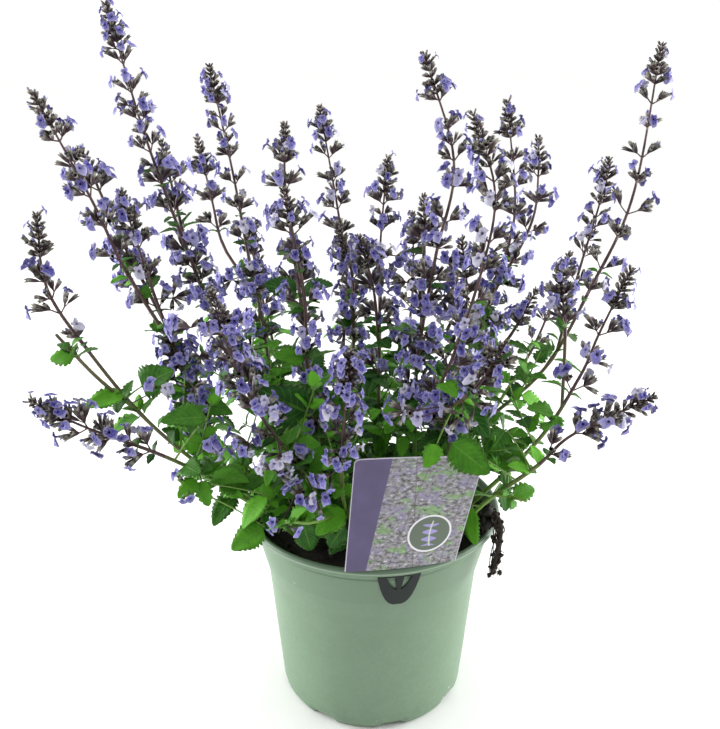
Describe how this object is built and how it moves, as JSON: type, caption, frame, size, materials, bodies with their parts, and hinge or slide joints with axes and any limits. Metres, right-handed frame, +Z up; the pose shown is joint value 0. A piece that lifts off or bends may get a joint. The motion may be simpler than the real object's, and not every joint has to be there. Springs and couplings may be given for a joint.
{
  "type": "potted catmint plant",
  "caption": "Bushy flowering catmint: leafy square stems with whorled violet flower spikes, rooted in soil in a sage green nursery pot with a plant label.",
  "frame": {"origin": "centre of the pot's base ring, on the surface it stands on", "axes": "+Z up along the pot's axis, -Y is the label side, +X to the right seen from the label side"},
  "size_m": [0.4144, 0.2794, 0.5068],
  "materials": {
    "pot_plastic": "matt moulded sage green",
    "potting_soil": "damp dark peat",
    "label_card": "printed plastic sheet",
    "dry_root": "dry fibrous root",
    "green_stem_and_leaf": "soft matt foliage",
    "violet_flower": "soft petal"
  },
  "bodies": {
    "root": {"pot": "pot_plastic", "soil": "potting_soil", "label": "label_card", "root_strand": "dry_root", "stem_01": "green_stem_and_leaf", "stem_02": "green_stem_and_leaf", "stem_03": "green_stem_and_leaf", "stem_04": "green_stem_and_leaf", "stem_05": "green_stem_and_leaf", "stem_06": "green_stem_and_leaf", "stem_07": "green_stem_and_leaf", "stem_08": "green_stem_and_leaf", "stem_09": "green_stem_and_leaf", "stem_10": "green_stem_and_leaf", "stem_11": "green_stem_and_leaf", "stem_12": "green_stem_and_leaf", "stem_13": "green_stem_and_leaf", "stem_14": "green_stem_and_leaf", "stem_15": "green_stem_and_leaf", "stem_16": "green_stem_and_leaf", "stem_17": "green_stem_and_leaf", "stem_18": "green_stem_and_leaf", "stem_19": "green_stem_and_leaf", "stem_20": "green_stem_and_leaf", "stem_21": "green_stem_and_leaf", "spike_01": "violet_flower", "spike_02": "violet_flower", "spike_03": "violet_flower", "spike_04": "violet_flower", "spike_05": "violet_flower", "spike_06": "violet_flower", "spike_07": "violet_flower", "spike_08": "violet_flower", "spike_09": "violet_flower", "spike_10": "violet_flower", "spike_11": "violet_flower", "spike_12": "violet_flower", "spike_13": "violet_flower", "spike_14": "violet_flower", "spike_15": "violet_flower", "spike_16": "violet_flower", "spike_17": "violet_flower", "spike_18": "violet_flower", "spike_19": "violet_flower", "spike_20": "violet_flower", "spike_21": "violet_flower", "spike_22": "violet_flower", "spike_23": "violet_flower", "spike_24": "violet_flower", "spike_25": "violet_flower", "spike_26": "violet_flower", "spike_27": "violet_flower", "spike_28": "violet_flower", "spike_29": "violet_flower", "spike_30": "violet_flower", "spike_31": "violet_flower", "spike_32": "violet_flower", "spike_33": "violet_flower"}
  },
  "joints": []
}
